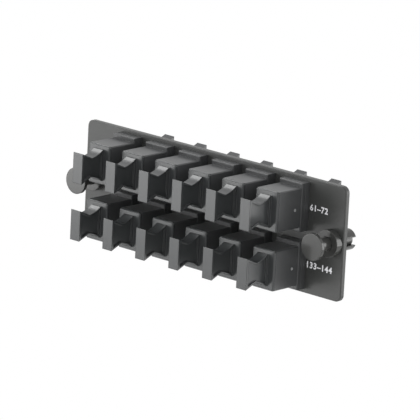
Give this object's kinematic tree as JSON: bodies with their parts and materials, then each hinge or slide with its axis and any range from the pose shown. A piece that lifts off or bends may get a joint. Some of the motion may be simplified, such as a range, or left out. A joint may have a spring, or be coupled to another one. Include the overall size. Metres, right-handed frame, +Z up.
{
  "type": "mpo fibre adapter panel",
  "caption": "Sheet-steel rack panel with two rows of multi-fibre push-on adapters, a dust cap in each adapter end and a push-pull latch at each end of the plate.",
  "frame": {"origin": "middle of the plate's rear face, on the solid strip between the two rows and the two middle columns", "axes": "+X along the plate to the right as seen from the front, +Y out of the rear face, +Z up; the front with its ports faces -Y"},
  "size_m": [0.112, 0.042, 0.0368],
  "materials": {
    "plate": "fine satin black powder coat",
    "adapter_plastic": "black moulded plastic with a soft gloss",
    "cap_plastic": "glossy black moulded plastic",
    "grommet_nylon": "black nylon with a soft gloss",
    "plunger_nylon": "polished black nylon",
    "clip_steel": "bare spring steel strip"
  },
  "bodies": {
    "panel": {"panel_plate": "plate", "latch_grommets": "grommet_nylon", "front_housing_upper_1": "adapter_plastic", "front_housing_upper_2": "adapter_plastic", "front_housing_upper_3": "adapter_plastic", "front_housing_upper_4": "adapter_plastic", "front_housing_upper_5": "adapter_plastic", "front_housing_upper_6": "adapter_plastic", "front_housing_lower_1": "adapter_plastic", "front_housing_lower_2": "adapter_plastic", "front_housing_lower_3": "adapter_plastic", "front_housing_lower_4": "adapter_plastic", "front_housing_lower_5": "adapter_plastic", "front_housing_lower_6": "adapter_plastic", "rear_housing_upper_1": "adapter_plastic", "rear_housing_upper_2": "adapter_plastic", "rear_housing_upper_3": "adapter_plastic", "rear_housing_upper_4": "adapter_plastic", "rear_housing_upper_5": "adapter_plastic", "rear_housing_upper_6": "adapter_plastic", "rear_housing_lower_1": "adapter_plastic", "rear_housing_lower_2": "adapter_plastic", "rear_housing_lower_3": "adapter_plastic", "rear_housing_lower_4": "adapter_plastic", "rear_housing_lower_5": "adapter_plastic", "rear_housing_lower_6": "adapter_plastic", "retention_clips": "clip_steel"},
    "plunger_left": {"latch_plunger_left": "plunger_nylon"},
    "plunger_right": {"latch_plunger_right": "plunger_nylon"},
    "front_cap_upper_1": {"front_dust_cap_upper_1": "cap_plastic"},
    "front_cap_upper_2": {"front_dust_cap_upper_2": "cap_plastic"},
    "front_cap_upper_3": {"front_dust_cap_upper_3": "cap_plastic"},
    "front_cap_upper_4": {"front_dust_cap_upper_4": "cap_plastic"},
    "front_cap_upper_5": {"front_dust_cap_upper_5": "cap_plastic"},
    "front_cap_upper_6": {"front_dust_cap_upper_6": "cap_plastic"},
    "front_cap_lower_1": {"front_dust_cap_lower_1": "cap_plastic"},
    "front_cap_lower_2": {"front_dust_cap_lower_2": "cap_plastic"},
    "front_cap_lower_3": {"front_dust_cap_lower_3": "cap_plastic"},
    "front_cap_lower_4": {"front_dust_cap_lower_4": "cap_plastic"},
    "front_cap_lower_5": {"front_dust_cap_lower_5": "cap_plastic"},
    "front_cap_lower_6": {"front_dust_cap_lower_6": "cap_plastic"},
    "rear_cap_upper_1": {"rear_dust_cap_upper_1": "cap_plastic"},
    "rear_cap_upper_2": {"rear_dust_cap_upper_2": "cap_plastic"},
    "rear_cap_upper_3": {"rear_dust_cap_upper_3": "cap_plastic"},
    "rear_cap_upper_4": {"rear_dust_cap_upper_4": "cap_plastic"},
    "rear_cap_upper_5": {"rear_dust_cap_upper_5": "cap_plastic"},
    "rear_cap_upper_6": {"rear_dust_cap_upper_6": "cap_plastic"},
    "rear_cap_lower_1": {"rear_dust_cap_lower_1": "cap_plastic"},
    "rear_cap_lower_2": {"rear_dust_cap_lower_2": "cap_plastic"},
    "rear_cap_lower_3": {"rear_dust_cap_lower_3": "cap_plastic"},
    "rear_cap_lower_4": {"rear_dust_cap_lower_4": "cap_plastic"},
    "rear_cap_lower_5": {"rear_dust_cap_lower_5": "cap_plastic"},
    "rear_cap_lower_6": {"rear_dust_cap_lower_6": "cap_plastic"}
  },
  "joints": [
    {"name": "push_plunger_left", "type": "slide", "parent": "panel", "child": "plunger_left", "axis": [0, 1, 0], "range_m": [0, 0.0055]},
    {"name": "push_plunger_right", "type": "slide", "parent": "panel", "child": "plunger_right", "axis": [0, 1, 0], "range_m": [0, 0.0055]},
    {"name": "pull_front_cap_upper_1", "type": "slide", "parent": "panel", "child": "front_cap_upper_1", "axis": [0, -1, 0], "range_m": [0, 0.008]},
    {"name": "pull_front_cap_upper_2", "type": "slide", "parent": "panel", "child": "front_cap_upper_2", "axis": [0, -1, 0], "range_m": [0, 0.008]},
    {"name": "pull_front_cap_upper_3", "type": "slide", "parent": "panel", "child": "front_cap_upper_3", "axis": [0, -1, 0], "range_m": [0, 0.008]},
    {"name": "pull_front_cap_upper_4", "type": "slide", "parent": "panel", "child": "front_cap_upper_4", "axis": [0, -1, 0], "range_m": [0, 0.008]},
    {"name": "pull_front_cap_upper_5", "type": "slide", "parent": "panel", "child": "front_cap_upper_5", "axis": [0, -1, 0], "range_m": [0, 0.008]},
    {"name": "pull_front_cap_upper_6", "type": "slide", "parent": "panel", "child": "front_cap_upper_6", "axis": [0, -1, 0], "range_m": [0, 0.008]},
    {"name": "pull_front_cap_lower_1", "type": "slide", "parent": "panel", "child": "front_cap_lower_1", "axis": [0, -1, 0], "range_m": [0, 0.008]},
    {"name": "pull_front_cap_lower_2", "type": "slide", "parent": "panel", "child": "front_cap_lower_2", "axis": [0, -1, 0], "range_m": [0, 0.008]},
    {"name": "pull_front_cap_lower_3", "type": "slide", "parent": "panel", "child": "front_cap_lower_3", "axis": [0, -1, 0], "range_m": [0, 0.008]},
    {"name": "pull_front_cap_lower_4", "type": "slide", "parent": "panel", "child": "front_cap_lower_4", "axis": [0, -1, 0], "range_m": [0, 0.008]},
    {"name": "pull_front_cap_lower_5", "type": "slide", "parent": "panel", "child": "front_cap_lower_5", "axis": [0, -1, 0], "range_m": [0, 0.008]},
    {"name": "pull_front_cap_lower_6", "type": "slide", "parent": "panel", "child": "front_cap_lower_6", "axis": [0, -1, 0], "range_m": [0, 0.008]},
    {"name": "pull_rear_cap_upper_1", "type": "slide", "parent": "panel", "child": "rear_cap_upper_1", "axis": [0, 1, 0], "range_m": [0, 0.008]},
    {"name": "pull_rear_cap_upper_2", "type": "slide", "parent": "panel", "child": "rear_cap_upper_2", "axis": [0, 1, 0], "range_m": [0, 0.008]},
    {"name": "pull_rear_cap_upper_3", "type": "slide", "parent": "panel", "child": "rear_cap_upper_3", "axis": [0, 1, 0], "range_m": [0, 0.008]},
    {"name": "pull_rear_cap_upper_4", "type": "slide", "parent": "panel", "child": "rear_cap_upper_4", "axis": [0, 1, 0], "range_m": [0, 0.008]},
    {"name": "pull_rear_cap_upper_5", "type": "slide", "parent": "panel", "child": "rear_cap_upper_5", "axis": [0, 1, 0], "range_m": [0, 0.008]},
    {"name": "pull_rear_cap_upper_6", "type": "slide", "parent": "panel", "child": "rear_cap_upper_6", "axis": [0, 1, 0], "range_m": [0, 0.008]},
    {"name": "pull_rear_cap_lower_1", "type": "slide", "parent": "panel", "child": "rear_cap_lower_1", "axis": [0, 1, 0], "range_m": [0, 0.008]},
    {"name": "pull_rear_cap_lower_2", "type": "slide", "parent": "panel", "child": "rear_cap_lower_2", "axis": [0, 1, 0], "range_m": [0, 0.008]},
    {"name": "pull_rear_cap_lower_3", "type": "slide", "parent": "panel", "child": "rear_cap_lower_3", "axis": [0, 1, 0], "range_m": [0, 0.008]},
    {"name": "pull_rear_cap_lower_4", "type": "slide", "parent": "panel", "child": "rear_cap_lower_4", "axis": [0, 1, 0], "range_m": [0, 0.008]},
    {"name": "pull_rear_cap_lower_5", "type": "slide", "parent": "panel", "child": "rear_cap_lower_5", "axis": [0, 1, 0], "range_m": [0, 0.008]},
    {"name": "pull_rear_cap_lower_6", "type": "slide", "parent": "panel", "child": "rear_cap_lower_6", "axis": [0, 1, 0], "range_m": [0, 0.008]}
  ]
}
